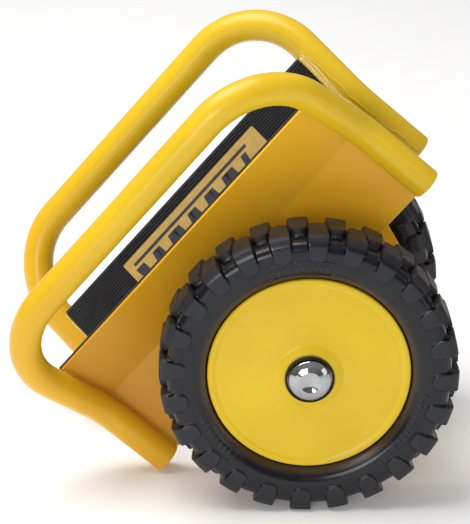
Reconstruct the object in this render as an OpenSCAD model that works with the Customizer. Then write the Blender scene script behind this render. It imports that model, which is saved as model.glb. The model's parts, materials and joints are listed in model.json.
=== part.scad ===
// Self-clamping two-wheel panel dolly: two jaws on one hinge pin, a wheel on each.
// It is drawn level, with the wheel axle along Y through the origin, X along the
// panel and the right-hand jaw at -Y. At the end it is tipped about the axle until
// both tyres and the lower ends of both hoops stand on the floor, as it is parked.

/* [Jaws] */
// Distance between the middle planes of the two hoops' legs
hoop_gap = 91; // [84:1:110]
// Half the distance between the two legs of one hoop
leg_x = 172; // [165:1:180]
// Height of the hoop's lower ends above the axle
leg_end_z = 14.7; // [12:0.1:20]
// Height above the axle where the jaw bends outward
bend_z = 90; // [80:1:100]
// Outward lean of the jaw above the bend, in degrees
flare = 27; // [20:1:30]
// Distance from the jaw's middle to the wheel axle, along the panel
jaw_x = 2.9; // [0:0.1:5]

/* [Hoop tube] */
// Outside diameter of the hoop tube
tube_d = 28; // [24:0.5:30]
// Wall thickness of the hoop tube
tube_wall = 2; // [1.5:0.5:3]
// Length up the slope from the bend to the handle's centre line
handle_up = 134; // [125:1:150]
// Centre-line radius of the hoop's two corners
corner_r = 66.5; // [50:0.5:70]
// Centre-line radius of the bend between leg and handle
kink_r = 60; // [40:5:70]

/* [Sheet metal] */
// Thickness of the jaw plates and the floor plates
sheet = 2.7; // [2:0.1:3]
// How far the plate's outer face lies inward of the tube's middle plane
plate_in = 7; // [6:0.5:8]
// Length of the flared plate up the slope
flare_up = 60.5; // [50:0.5:62]
// Height of the plate's lower edge beside the wheel
plate_low_z = 12.7; // [10:0.1:14]
// Half length of the cradle at the plate's lower edge
cradle_x = 112; // [105:1:116]
// Inward lean of the cradle's ends, in degrees
cradle_lean = 20; // [10:1:25]

/* [Pads] */
// Thickness of the rubber pad over its ribs
pad_t = 3; // [2.5:0.1:4]
// Distance between two ribs of the pad
rib_pitch = 2.6; // [2:0.1:4]
// Half length of the pad
pad_x = 160; // [150:1:162]
// Height of the pad's lower edge above the axle
pad_low_z = 25; // [15:1:60]

/* [Hinge] */
// Height of the hinge pin, below the axle
hinge_drop = 44; // [40:1:50]
// Diameter of the hinge pin
pin_d = 10; // [8:0.5:11]
// Outside diameter of the hinge knuckles
knuckle_d = 18; // [17:0.5:20]
// Length of one outer hinge knuckle
knuckle_l = 24; // [20:1:26]
// Running clearance round the hinge pin
pin_play = 0.05; // [0.02:0.01:0.08]

/* [Wheels] */
// Radius of the tyre over its lugs
tyre_r = 128.4; // [125:0.1:132]
// Width of the tyre over its lugs
tyre_w = 55.5; // [54:0.5:57]
// Distance from the dolly's middle plane to the tyre's middle plane
track_half = 107; // [105:1:115]
// Number of lugs in each of the two rows
lugs = 24; // [20:1:26]
// Angle that one lug covers, in degrees
lug_arc = 8.4; // [7:0.1:9]
// Radius of the wheel disc's rolled edge
disc_r = 87; // [86:0.5:88]
// Diameter of the stub axle
axle_d = 15; // [14.8:0.1:15]

/* [Hidden] */
$fn = 96;

YELLOW = [0.87, 0.68, 0.13];
BLACK = [0.09, 0.09, 0.1];
STEEL = [0.68, 0.69, 0.71];
CHROME = [0.85, 0.86, 0.88];

tube_r = tube_d / 2;
leg_y = hoop_gap / 2;
straight_x = leg_x - corner_r;
kink_run = kink_r * tan(flare / 2);
plate_out_y = leg_y - plate_in;
plate_in_y = plate_out_y - sheet;

pin_r = pin_d / 2;
knuckle_r = knuckle_d / 2;
hinge_z = -hinge_drop;
floor_top_z = hinge_z + sheet / 2;
floor_low_z = hinge_z - sheet / 2;
cradle_end_x = cradle_x - (plate_low_z - floor_low_z) * tan(cradle_lean);
knuckle_gap = 0.5;
spring_room = 24;
centre_knuckle_x = 16.5;
spring_x = centre_knuckle_x + spring_room / 2;
inner_knuckle_x = centre_knuckle_x + spring_room + knuckle_l / 2;
outer_knuckle_x = inner_knuckle_x + knuckle_l + knuckle_gap;
hinge_half = outer_knuckle_x + knuckle_l / 2;
edge_play = 0.8;

axle_r = axle_d / 2;
bearing_r = 17.5;
bearing_w = 11;
ball_r = 3;
ball_pitch_r = 12.5;
ball_play = 0.05;
balls = 8;
hub_r = 21;
hub_in_y = track_half - 23;
hub_out_y = track_half + 30;
bearing_in_y = hub_in_y + 0.5;
bearing_out_y = hub_out_y - 0.5 - bearing_w;
boss_end_y = hub_in_y - 3;
disc_y = track_half + 20.3;
bead_r = 84;
rim_t = 2;
carcass_r = 119.5;
lug_foot_r = 106;
lug_phase = 3;

// Steps that the curved runs are drawn in
hoop_sides = 24;
kink_steps = 3;
corner_steps = 8;
spring_sides = 6;
spring_steps = 12;
cap_steps = 8;

// Plugs in the hoop's ends
plug_t = 3;
plug_play = 0.15;

// Label: up the slope from the bend, and half its length
label_low = 14;
label_up = 50;
label_x = 89.5;
label_t = 0.4;
label_gap = 0.1;

// Stub axle's seat on the plate
boss_r = 18;
flange_r = 34;
flange_t = 5;
gusset_t = 4;
axle_head_t = 2;
axle_end_y = hub_out_y + 5.5;

// Hinge pin and its clip
pin_head_r = 7.5;
pin_head_l = 3;
pin_end = 6;
clip_t = 1.2;
clip_groove = 0.8;
clip_x = hinge_half + 0.6;

// Torsion springs; both ends of a coil turn along the pin into holes in the knuckles beside it
spring_wire_r = 1;
spring_turns = 9;
coil_r = pin_r + spring_wire_r + 0.6;
coil_half = spring_turns * (2 * spring_wire_r + 0.2) / 2;
tang_reach = spring_room / 2 + 4;
tang_play = 0.15;
tang_hole = 4.5;

// Stop brackets
stop_half = 20;
stop_t = 5;
stop_gap = 0.15;
stop_drop = 9;

// What holds the wheel on its stub axle
washer_r = 11;
outer_washer_t = 1.5;
ring_groove = 0.8;
ring_y = bearing_out_y + bearing_w + outer_washer_t;
ring_t = 1.2;

// Axle cap and the dust seal round it
cap_r = 18.5;
cap_flat_r = 10;
cap_low_y = hub_out_y + 1;
cap_high_y = hub_out_y + 9;
cap_t = 1;
cap_dish = 0.8;
seal_gap = 0.5;
seal_t = 2.8;

// Lean that brings the lowest point of the hoop's end down to the tyres' level
end_x = leg_x + tube_r - jaw_x;
end_reach = norm([end_x, leg_end_z]);
tip = atan2(leg_end_z, end_x) + asin(tyre_r / end_reach);

// The row's origin is under the middle of the whole box: its ends are the hoops'
// corner on one side and the tyres on the other.
corner_mid_x = jaw_x - straight_x;
corner_mid_up = handle_up - corner_r;
corner_swing = norm([cos(tip), cos(flare) * sin(tip)]);
box_low_x = corner_mid_x * cos(tip) - (bend_z + corner_mid_up * cos(flare)) * sin(tip)
    - corner_r * corner_swing - tube_r;
box_mid_x = (box_low_x + tyre_r) / 2;

// ---- placing -------------------------------------------------------------

// From the level drawing to the parked stance, for what belongs to the jaws
module parked() {
    translate([-box_mid_x, 0, tyre_r]) rotate([0, -tip, 0]) children();
}

// The same place without the tipping, for what turns about the axle
module on_axle() {
    translate([-box_mid_x, 0, tyre_r]) children();
}

// The left side is the mirror image of the right side
module left() {
    mirror([0, 1, 0]) children();
}

// A round piece about the wheel axle; its profile is [radius, distance outward]
module turned(profile) {
    rotate([90, 0, 0]) rotate_extrude() polygon(profile);
}

// A ring about the wheel axle, between two distances outward
module ring(r_out, r_in, y_low, y_high) {
    turned([[r_in, y_low], [r_out, y_low], [r_out, y_high], [r_in, y_high]]);
}

// A bar along X whose cross-section is given in [y, z]
module bar(x_low, x_high, section) {
    translate([x_low, 0, 0]) rotate([90, 0, 90]) linear_extrude(x_high - x_low) polygon(section);
}

// ---- jaws (right side) ---------------------------------------------------

// Point of the jaw's cross-section: up the slope from the bend, and inward of the tubes' plane
function jaw_point(up, inward) =
    [-leg_y - up * sin(flare) + inward * cos(flare), bend_z + up * cos(flare) + inward * sin(flare)];

// Where a face that lies inward of the tubes' plane turns from upright to flared
function jaw_turn(inward) = [inward - leg_y, bend_z + inward * tan(flare / 2)];

// A skin over rings of points: a chain with flat ends, or a loop that closes on itself
module skin(rings, loop) {
    n = len(rings[0]);
    count = len(rings);
    last = loop ? count - 1 : count - 2;
    sides = [for (k = [0:last], i = [0:n - 1]) let (next = (k + 1) % count)
        [k * n + i, next * n + i, next * n + (i + 1) % n, k * n + (i + 1) % n]];
    ends = [[for (i = [0:n - 1]) i], [for (i = [n - 1:-1:0]) (count - 1) * n + i]];
    polyhedron(points = [for (r = rings) each r], faces = loop ? sides : concat(ends, sides));
}

// A place on the hoop: its centre, its lean, and its turn from the outer leg towards the other
function on_leg(side, z) = [[side * leg_x, -leg_y, z], 0, side > 0 ? 0 : 180];
function on_kink(side, lean) = [
    [side * leg_x, -leg_y - kink_r * (1 - cos(lean)), bend_z - kink_run + kink_r * sin(lean)],
    lean, side > 0 ? 0 : 180];
function on_corner(side, turn) =
    let (p = jaw_point(corner_mid_up + corner_r * sin(turn), 0))
    [[side * straight_x + corner_r * cos(turn), p[0], p[1]], flare, turn];

function hoop_ring(place, r) = [for (i = [0:hoop_sides - 1])
    let (t = i * 360 / hoop_sides, lean = place[1], turn = place[2])
    place[0] + r * (cos(t) * [cos(turn), -sin(turn) * sin(lean), sin(turn) * cos(lean)]
        + sin(t) * [0, cos(lean), sin(lean)])];

// The hoop's run from the foot of one leg to the foot of the other
function hoop_places() = concat(
    [on_leg(1, leg_end_z)],
    [for (i = [0:kink_steps]) on_kink(1, flare * i / kink_steps)],
    [for (i = [0:corner_steps]) on_corner(1, 90 * i / corner_steps)],
    [for (i = [0:corner_steps]) on_corner(-1, 90 + 90 * i / corner_steps)],
    [for (i = [kink_steps:-1:0]) on_kink(-1, flare * i / kink_steps)],
    [on_leg(-1, leg_end_z)]);

module hoop() {
    places = hoop_places();
    last = len(places) - 1;
    color(YELLOW) translate([jaw_x, 0, 0]) skin(concat(
        [for (p = places) hoop_ring(p, tube_r)],
        [for (i = [last:-1:0]) hoop_ring(places[i], tube_r - tube_wall)]), true);
}

module hoop_end_plugs() {
    color(YELLOW) for (side = [-1, 1])
        translate([jaw_x + side * leg_x, -leg_y, leg_end_z])
            cylinder(h = plug_t, r = tube_r - tube_wall - plug_play);
}

module side_plate() {
    section = [
        [-plate_out_y, floor_low_z], [-plate_in_y, floor_low_z], jaw_turn(plate_in + sheet),
        jaw_point(flare_up, plate_in + sheet), jaw_point(flare_up, plate_in), jaw_turn(plate_in)];
    reach = plate_out_y + flare_up;
    plate_x = leg_x - sqrt(tube_r * tube_r - plate_in * plate_in);
    outline = [
        [-plate_x, plate_low_z], [-cradle_x, plate_low_z], [-cradle_end_x, floor_low_z],
        [cradle_end_x, floor_low_z], [cradle_x, plate_low_z], [plate_x, plate_low_z],
        [plate_x, bend_z + flare_up], [-plate_x, bend_z + flare_up]];
    color(YELLOW) difference() {
        intersection() {
            bar(jaw_x - leg_x, jaw_x + leg_x, section);
            translate([jaw_x, 0, 0]) rotate([90, 0, 0]) linear_extrude(reach) polygon(outline);
        }
        rotate([90, 0, 0]) cylinder(h = reach, r = axle_r);
    }
}

// Ribbed rubber: flat at the back, rounded-off ribs that run along X
module gripping_pad() {
    back = plate_in + sheet;
    groove = back + pad_t * 0.62;
    crest = back + pad_t;
    turn_z = jaw_turn(crest)[1];
    low_ribs = floor((turn_z - pad_low_z) / rib_pitch);
    up_ribs = floor((flare_up - 1) / rib_pitch);
    section = concat(
        [[-plate_in_y, pad_low_z], jaw_turn(back), jaw_point(flare_up - 0.3, back)],
        [for (i = [up_ribs:-1:1]) for (p = [[0.28, crest], [-0.18, crest], [-0.32, groove], [-0.58, groove]])
            jaw_point((i + p[0]) * rib_pitch, p[1])],
        [jaw_turn(crest)],
        [for (i = [0:low_ribs - 1]) for (p = [[0.42, groove], [0.68, groove], [0.82, crest], [1.2, crest]])
            [p[1] - leg_y, turn_z - (i + p[0]) * rib_pitch]],
        [[groove - leg_y, pad_low_z]]);
    color(BLACK) bar(jaw_x - pad_x, jaw_x + pad_x, section);
}

// A gripping label on the pad: a plain sheet
module pad_label() {
    face = plate_in + sheet + pad_t + label_gap;
    section = [
        jaw_point(label_low, face), jaw_point(label_up, face),
        jaw_point(label_up, face + label_t), jaw_point(label_low, face + label_t)];
    color(YELLOW) bar(jaw_x - label_x, jaw_x + label_x, section);
}

// Stub axle's seat: a flange on the plate, a tube and four gussets
module axle_boss() {
    color(YELLOW) difference() {
        union() {
            ring(flange_r, axle_r, plate_out_y, plate_out_y + flange_t);
            ring(boss_r, axle_r, plate_out_y, boss_end_y);
            for (turn = [0:90:270]) rotate([0, turn, 0])
                translate([0, 0, -gusset_t / 2]) linear_extrude(gusset_t) polygon([
                    [boss_r - 2, -plate_out_y - 1], [flange_r - 1, -plate_out_y - flange_t],
                    [flange_r - 1, -plate_out_y - flange_t - 2], [boss_r, -boss_end_y + 5],
                    [boss_r - 2, -boss_end_y + 5]]);
        }
        rotate([90, 0, 0]) cylinder(h = boss_end_y + 1, r = axle_r);
    }
}

module stub_axle() {
    head_y = plate_in_y - axle_head_t;
    color(STEEL) difference() {
        turned([[0, head_y], [axle_r + 4, head_y], [axle_r + 4, plate_in_y], [axle_r, plate_in_y],
            [axle_r, axle_end_y - 1], [axle_r - 1, axle_end_y], [0, axle_end_y]]);
        ring(axle_r + 1, axle_r - ring_groove, ring_y, ring_y + ring_t);
    }
}

// ---- hinge ---------------------------------------------------------------

// Half a hinge leaf: its own knuckles with a web to each, cut clear of the other's
module leaf(own) {
    edge_y = knuckle_r + edge_play;
    difference() {
        union() {
            bar(-cradle_end_x, cradle_end_x, [[-plate_in_y, floor_low_z], [-edge_y, floor_low_z],
                [-edge_y, floor_top_z], [-plate_in_y, floor_top_z]]);
            for (k = own) {
                translate([k[0] - k[1] / 2, 0, hinge_z]) rotate([0, 90, 0]) cylinder(h = k[1], r = knuckle_r);
                bar(k[0] - k[1] / 2, k[0] + k[1] / 2, [[-edge_y - 1, floor_low_z], [0, floor_low_z],
                    [0, floor_top_z], [-edge_y - 1, floor_top_z]]);
            }
        }
        translate([-hinge_half - 1, 0, hinge_z]) rotate([0, 90, 0])
            cylinder(h = 2 * hinge_half + 2, r = pin_r + pin_play);
        for (side = [-1, 1], x = [centre_knuckle_x, centre_knuckle_x + spring_room])
            translate([side * x - tang_hole, 0, hinge_z + coil_r]) rotate([0, 90, 0])
                cylinder(h = 2 * tang_hole, r = spring_wire_r + tang_play);
    }
}

RIGHT_KNUCKLES = [
    [-outer_knuckle_x, knuckle_l], [0, 2 * centre_knuckle_x], [outer_knuckle_x, knuckle_l]];
LEFT_KNUCKLES = [[-inner_knuckle_x, knuckle_l], [inner_knuckle_x, knuckle_l]];

module floor_plate(own) {
    color(YELLOW) translate([jaw_x, 0, 0]) leaf(own);
}

module hinge_pin() {
    color(STEEL) translate([jaw_x, 0, hinge_z]) rotate([0, 90, 0]) difference() {
        union() {
            translate([0, 0, -hinge_half - 0.5]) cylinder(h = 2 * hinge_half + pin_end, r = pin_r);
            translate([0, 0, -hinge_half - 0.5 - pin_head_l]) cylinder(h = pin_head_l, r = pin_head_r);
        }
        translate([0, 0, clip_x]) difference() {
            cylinder(h = clip_t, r = pin_r + 1);
            translate([0, 0, -1]) cylinder(h = clip_t + 2, r = pin_r - clip_groove);
        }
    }
}

// An open ring that snaps into a groove round a shaft
module snap_ring(r_in, r_out, t) {
    mouth = r_in * 1.2;
    difference() {
        cylinder(h = t, r = r_out);
        translate([0, 0, -1]) cylinder(h = t + 2, r = r_in);
        translate([0, -mouth / 2, -1]) cube([r_out + 1, mouth, t + 2]);
    }
}

module hinge_pin_clip() {
    color(STEEL) translate([jaw_x + clip_x, 0, hinge_z]) rotate([0, 90, 0])
        snap_ring(pin_r - clip_groove, pin_r + 3, clip_t);
}

// One ring of points round the spring's wire. The angle is taken from the top of the coil towards +Y,
// and the ring lies across the coil (1, 0), across the bend into an end (1, -1) or across the end (0, -1).
function wire_ring(angle, along, side_x, side_y) = [for (i = [0:spring_sides - 1])
    let (a = i * 360 / spring_sides, r = coil_r + spring_wire_r * cos(a), q = spring_wire_r * sin(a))
    [along + q * side_x, r * sin(angle) + q * side_y * cos(angle),
        r * cos(angle) - q * side_y * sin(angle)]];

module torsion_spring() {
    steps = spring_turns * spring_steps;
    skin(concat(
        [wire_ring(0, -tang_reach, 0, -1), wire_ring(0, -coil_half, 1, -1)],
        [for (i = [1:steps - 1])
            wire_ring(360 * i / spring_steps, coil_half * (2 * i / steps - 1), 1, 0)],
        [wire_ring(0, coil_half, 1, -1), wire_ring(0, tang_reach, 0, -1)]), false);
}

module torsion_springs() {
    color(STEEL) for (side = [-1, 1])
        translate([jaw_x + side * spring_x, 0, hinge_z]) torsion_spring();
}

// Stop: a bent strap under the floor plate; the two meet face to face when the jaws are open
module stop_bracket() {
    back_y = plate_in_y - 6;
    clear_z = hinge_z - knuckle_r - 1;
    low_z = clear_z - stop_drop;
    color(YELLOW) bar(jaw_x - stop_half, jaw_x + stop_half, [
        [-back_y, floor_low_z], [-back_y, low_z], [-stop_gap, low_z], [-stop_gap, clear_z],
        [-back_y + stop_t, clear_z], [-back_y + stop_t, floor_low_z]]);
}

// ---- wheels (right side) -------------------------------------------------

module both_bearings() {
    for (y = [bearing_in_y, bearing_out_y]) translate([0, -y, 0]) children();
}

module bearing_half_ring(r_out, r_in) {
    difference() {
        ring(r_out, r_in, 0, bearing_w);
        rotate([90, 0, 0]) translate([0, 0, bearing_w / 2])
            rotate_extrude() translate([ball_pitch_r, 0]) circle(ball_r + ball_play, $fn = 48);
    }
}

module bearing_inner_rings() {
    color(STEEL) both_bearings() bearing_half_ring(ball_pitch_r - 1.6, axle_r);
}

module bearing_outer_rings() {
    color(STEEL) both_bearings() bearing_half_ring(bearing_r, ball_pitch_r + 1.6);
}

module bearing_balls() {
    color(STEEL) both_bearings() for (i = [0:balls - 1])
        rotate([0, i * 360 / balls, 0]) translate([ball_pitch_r, -bearing_w / 2, 0]) sphere(ball_r);
}

module bearing_spacer() {
    color(STEEL) ring(axle_r + 2.5, axle_r, bearing_in_y + bearing_w, bearing_out_y);
}

module axle_washers() {
    color(STEEL) {
        ring(washer_r, axle_r, boss_end_y, bearing_in_y);
        ring(washer_r, axle_r, bearing_out_y + bearing_w, ring_y);
    }
}

module retaining_ring() {
    color(STEEL) translate([0, -ring_y, 0]) rotate([90, 0, 0])
        snap_ring(axle_r - ring_groove, axle_r + 3, ring_t);
}

// The dome falls from its flat middle to its rim along a quarter of an ellipse
function dome(r, high, low, i) = let (a = 90 * i / cap_steps)
    [cap_flat_r + (r - cap_flat_r) * sin(a), low + (high - low) * cos(a)];

module axle_cap() {
    outside = [for (i = [0:cap_steps]) dome(cap_r, cap_high_y, cap_low_y + 2, i)];
    inside = [for (i = [cap_steps:-1:0]) dome(cap_r - cap_t, cap_high_y - cap_t, cap_low_y + 2, i)];
    grip_y = ring_y + ring_t + 0.5;
    color(CHROME) turned(concat(
        [[0, cap_high_y - cap_dish]], outside, [[cap_r, cap_low_y], [cap_r - cap_t, cap_low_y]], inside,
        [[axle_r + 1, cap_high_y - cap_t - 0.1], [axle_r + 1, grip_y], [axle_r, grip_y],
            [axle_r, cap_high_y - cap_t - cap_dish], [0, cap_high_y - cap_t - cap_dish]]));
}

module dust_seal() {
    front_y = hub_out_y + seal_t;
    color(BLACK) turned([[cap_r + seal_gap, hub_out_y], [hub_r, hub_out_y], [hub_r, front_y - 0.7],
        [hub_r - 0.7, front_y], [cap_r + seal_gap, front_y]]);
}

module wheel_hub() {
    seat = bearing_w + 0.5;
    color(STEEL) turned([
        [bearing_r, hub_in_y], [hub_r, hub_in_y], [hub_r, hub_out_y], [bearing_r, hub_out_y],
        [bearing_r, hub_out_y - seat], [bearing_r - 2, hub_out_y - seat],
        [bearing_r - 2, hub_in_y + seat], [bearing_r, hub_in_y + seat]]);
}

// Outer half of the rim: a flat cone that rises to the hub, with a rolled edge
module rim_outer() {
    face = disc_y - 1.3;
    slope = disc_y + 4.2;
    rise = hub_out_y - 0.8;
    color(YELLOW) turned([
        [hub_r, rise], [hub_r + 3, rise - 1], [hub_r + 7, slope + 1.1], [hub_r + 13, slope],
        [disc_r - 6, face], [disc_r - 4, disc_y], [disc_r - 1.2, disc_y], [disc_r, disc_y - 1.2],
        [disc_r, disc_y - 2.8], [bead_r, disc_y - 5], [bead_r, track_half], [bead_r - rim_t, track_half],
        [bead_r - rim_t, face - rim_t - 0.5], [hub_r + 12.8, slope - rim_t], [hub_r + 6, slope + 1.1 - rim_t],
        [hub_r + 2, rise - 1 - rim_t], [hub_r, rise - rim_t]]);
}

module rim_inner() {
    lip = 2 * track_half - disc_y;
    color(YELLOW) turned([
        [bead_r - rim_t, track_half], [bead_r, track_half], [bead_r, lip + 5], [disc_r, lip + 2.8],
        [disc_r, lip + 1.2], [disc_r - 1.2, lip], [disc_r - 4, lip], [disc_r - 6, lip + 1.3],
        [hub_r, lip + 1.3], [hub_r, lip + 3.3], [bead_r - rim_t, lip + 3.3]]);
}

// One row of lugs: a tread block whose foot wraps over the shoulder, cut into teeth
module lug_row(side) {
    w = tyre_w / 2;
    step = 360 / lugs;
    first = (side > 0 ? 0 : step / 2) - lug_phase;
    low = lug_foot_r - 1;
    block = [[lug_foot_r, w - 2.4], [lug_foot_r + 1.2, w - 0.7], [lug_foot_r + 3.5, w], [122.5, w],
        [tyre_r, w - 3.5], [tyre_r, 3], [carcass_r - 2.5, 3], [carcass_r - 2.5, w - 5]];
    high = tyre_r + 4;
    teeth = [for (i = [0:lugs - 1]) for (p = [[low, -1], [high, -1], [high, 1], [low, 1]])
        let (a = first + i * step + p[1] * lug_arc / 2) p[0] * [cos(a), sin(a)]];
    intersection() {
        rotate_extrude() translate([0, track_half]) polygon([for (p = block) [p[0], side * p[1]]]);
        translate([0, 0, track_half - w]) linear_extrude(tyre_w) polygon(teeth);
    }
}

module tyre() {
    w = tyre_w / 2;
    half = [
        [bead_r, 14.5], [bead_r + 5, 15], [bead_r + 7.5, 18], [98, w - 3.2], [103, w - 1.4], [109, w - 1.2],
        [114, w - 2.8], [118, w - 6.5], [carcass_r, w - 12]];
    hollow = [[94, 7], [98, 15], [106, 18], [111, 14], [112.5, 6]];
    outline = concat(half, [for (i = [len(half) - 1:-1:0]) [half[i][0], -half[i][1]]]);
    chamber = concat(hollow, [for (i = [len(hollow) - 1:-1:0]) [hollow[i][0], -hollow[i][1]]]);
    color(BLACK) rotate([90, 0, 0]) difference() {
        union() {
            rotate_extrude() translate([0, track_half]) polygon(outline);
            for (side = [-1, 1]) lug_row(side);
        }
        rotate_extrude() translate([0, track_half]) polygon(chamber);
    }
}

// ---- the nodes -----------------------------------------------------------

parked() side_plate();  // right_side_plate
parked() hoop();  // right_hoop
parked() hoop_end_plugs();  // right_hoop_end_plugs
parked() floor_plate(RIGHT_KNUCKLES);  // right_floor_plate
parked() axle_boss();  // right_axle_boss
parked() stop_bracket();  // right_stop_bracket
parked() gripping_pad();  // right_gripping_pad
parked() stub_axle();  // right_stub_axle
parked() bearing_inner_rings();  // right_bearing_inner_rings
parked() bearing_spacer();  // right_bearing_spacer
parked() axle_washers();  // right_axle_washers
parked() retaining_ring();  // right_retaining_ring
parked() axle_cap();  // right_axle_cap
on_axle() tyre();  // right_tyre
on_axle() rim_outer();  // right_rim_outer
on_axle() rim_inner();  // right_rim_inner
on_axle() wheel_hub();  // right_wheel_hub
on_axle() bearing_outer_rings();  // right_bearing_outer_rings
on_axle() bearing_balls();  // right_bearing_balls
on_axle() dust_seal();  // right_dust_seal

parked() left() side_plate();  // left_side_plate
parked() left() hoop();  // left_hoop
parked() left() hoop_end_plugs();  // left_hoop_end_plugs
parked() left() floor_plate(LEFT_KNUCKLES);  // left_floor_plate
parked() left() axle_boss();  // left_axle_boss
parked() left() stop_bracket();  // left_stop_bracket
parked() left() gripping_pad();  // left_gripping_pad
parked() left() stub_axle();  // left_stub_axle
parked() left() bearing_inner_rings();  // left_bearing_inner_rings
parked() left() bearing_spacer();  // left_bearing_spacer
parked() left() axle_washers();  // left_axle_washers
parked() left() retaining_ring();  // left_retaining_ring
parked() left() axle_cap();  // left_axle_cap
on_axle() left() tyre();  // left_tyre
on_axle() left() rim_outer();  // left_rim_outer
on_axle() left() rim_inner();  // left_rim_inner
on_axle() left() wheel_hub();  // left_wheel_hub
on_axle() left() bearing_outer_rings();  // left_bearing_outer_rings
on_axle() left() bearing_balls();  // left_bearing_balls
on_axle() left() dust_seal();  // left_dust_seal

parked() hinge_pin();
parked() hinge_pin_clip();
parked() torsion_springs();
parked() left() pad_label();
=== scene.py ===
"""Looks of the self-clamping two-wheel panel dolly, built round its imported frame.

Sizes are in millimetres in the level drawing: X along the panel, Y across, Z up, with the
wheel axle through the origin. Everything is tipped about the axle into its parked stance.
"""
import json
import math

import bmesh
import bpy
import numpy as np
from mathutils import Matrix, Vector

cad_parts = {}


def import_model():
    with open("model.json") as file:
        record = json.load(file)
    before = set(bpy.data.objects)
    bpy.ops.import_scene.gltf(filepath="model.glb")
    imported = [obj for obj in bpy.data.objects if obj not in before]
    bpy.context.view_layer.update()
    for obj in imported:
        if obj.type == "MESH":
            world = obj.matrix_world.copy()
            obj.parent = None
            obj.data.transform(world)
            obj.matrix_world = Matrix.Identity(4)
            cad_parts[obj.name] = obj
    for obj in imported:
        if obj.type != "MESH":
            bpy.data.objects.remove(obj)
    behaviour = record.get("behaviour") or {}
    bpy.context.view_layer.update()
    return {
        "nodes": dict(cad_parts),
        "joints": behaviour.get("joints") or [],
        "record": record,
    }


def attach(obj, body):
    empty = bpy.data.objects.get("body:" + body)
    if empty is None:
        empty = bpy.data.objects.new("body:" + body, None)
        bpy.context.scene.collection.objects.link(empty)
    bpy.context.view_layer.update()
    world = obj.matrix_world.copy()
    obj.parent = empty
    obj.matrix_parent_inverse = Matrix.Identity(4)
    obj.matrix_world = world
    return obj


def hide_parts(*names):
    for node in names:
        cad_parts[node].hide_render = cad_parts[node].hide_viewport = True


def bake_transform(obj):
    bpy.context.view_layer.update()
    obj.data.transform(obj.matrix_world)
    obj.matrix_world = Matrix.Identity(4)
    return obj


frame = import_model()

JOINTS = {j["name"]: j for j in frame["joints"]}
AXLE = np.array(JOINTS["right_wheel_spin"]["pos_m"])
ALONG = np.array(Vector(JOINTS["jaw_hinge"]["axis"]).normalized())
ACROSS = np.array([0.0, 1.0, 0.0])
UP = np.array([-ALONG[2], 0.0, ALONG[0]])
MM = 0.001
RIGHT, LEFT = -1, 1
SIDES = ((RIGHT, "right"), (LEFT, "left"))

# Jaws
LEG_Y = 45.5
LEG_X = 172.0
LEG_END_Z = 14.7
BEND_Z = 90.0
FLARE = math.radians(27)
JAW_X = 2.9
TUBE_R = 14.0
HANDLE_UP = 134.0
CORNER_R = 66.5
KINK_R = 60.0
SHEET = 2.7
PLATE_IN = 7.0
FLARE_UP = 60.5
PLATE_LOW_Z = 12.7
CRADLE_X = 112.0
CRADLE_LEAN = math.radians(20)
HINGE_Z = -44.0
PLATE_X = LEG_X - math.sqrt(TUBE_R**2 - PLATE_IN**2)
BEND_R = 5.0
END_ROUND = 1.6

# Hinge springs
KNUCKLE_END = 16.5
SPRING_ROOM = 24.0
COIL_R = 6.6
WIRE_R = 1.0
COIL_HALF = 9.9
COIL_TURNS = 9
TANG = 16.0

# Wheels
TRACK = 107.0
LUGS = 24
LUG_PHASE = -3.0
HUB_R = 21.0
HUB_Y = 137.0
DISC_Y = 127.3
DISC_R = 87.0
BEAD_R = 84.0
CAP_R = 18.5
CAP_LOW, CAP_HIGH = 1.0, 9.0
SEAL_GAP = 0.5
SEAL_T = 2.8

# Raised frames on the tyre's sidewall, and the ridges in them; angles are in degrees
PANEL_ANGLES = (94, 214, 334)
PANEL_HALF = 26.5
PANEL_LOW_R, PANEL_HIGH_R = 92.6, 105.4
PANEL_EDGE_R = 0.8
RIDGES = 9
RIDGE_PITCH = 5.2
RIDGE_INSET = 3.2

# Pads and label; the pattern's sizes are along X and up the slope
PAD_X = 161.0
PAD_LOW_Z = 25.0
PAD_OVER = 0.6
PAD_T = 3.0
RIB_PITCH = 2.6
LABEL_X = 89.5
LABEL_LOW, LABEL_UP = 14.0, 50.0
LABEL_T = 0.35
INK_LOW, INK_T = 0.3, 0.1
STRIPE = ((-81, 73), (40.9, 43.8))
BARS = 12
BAR_START = -80.0
BAR_LOW, BAR_UP = 14.6, 38.2
BAR_GAP = 4.2

# Weld beads: steps along them, ripple spacing, and how far apart their width changes
WELD_PITCH = 0.55
RIPPLE = 3.1
WAVE = 9
OUTER_WELD_X, OUTER_WELD_R = 159.3, 0.9

# Where the tyre's looks change: radii in metres, and places across in mm
BEAD_REFLECTION_FADE = (0.0915, 0.0952)
TREAD_FADE = (0.1215, 0.1250)
LUG_FACE = (26.3, 27.6)

# Stage, in metres and radians
FLOOR_REACH = 9
MIDDLE = (0, 0, 0.18)
SKY_STRENGTH = 0.40
SKY_STARTS, SKY_FULL = 0.05, 0.7
HORIZON_LEFT = (0.56, 0.47, 0.36)
HORIZON_RIGHT = (0.45, 0.41, 0.37)
CAMERA_AT = (-0.0304, -2.0302, 0.9865)
CAMERA_DOWN = 0.37753
CAMERA_TURN = -0.01654
CAMERA_LENS = 168.3


# ---- mesh helpers -----------------------------------------------------------

def level(points):
    """Points of the level drawing, in mm, in the row frame."""
    p = np.asarray(points, float)
    return AXLE + MM * (p[..., :1] * ALONG + p[..., 1:2] * ACROSS + p[..., 2:3] * UP)


def upright(points):
    """Points about the axle that aren't tipped, in mm, in the row frame."""
    return AXLE + MM * np.asarray(points, float)


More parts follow.
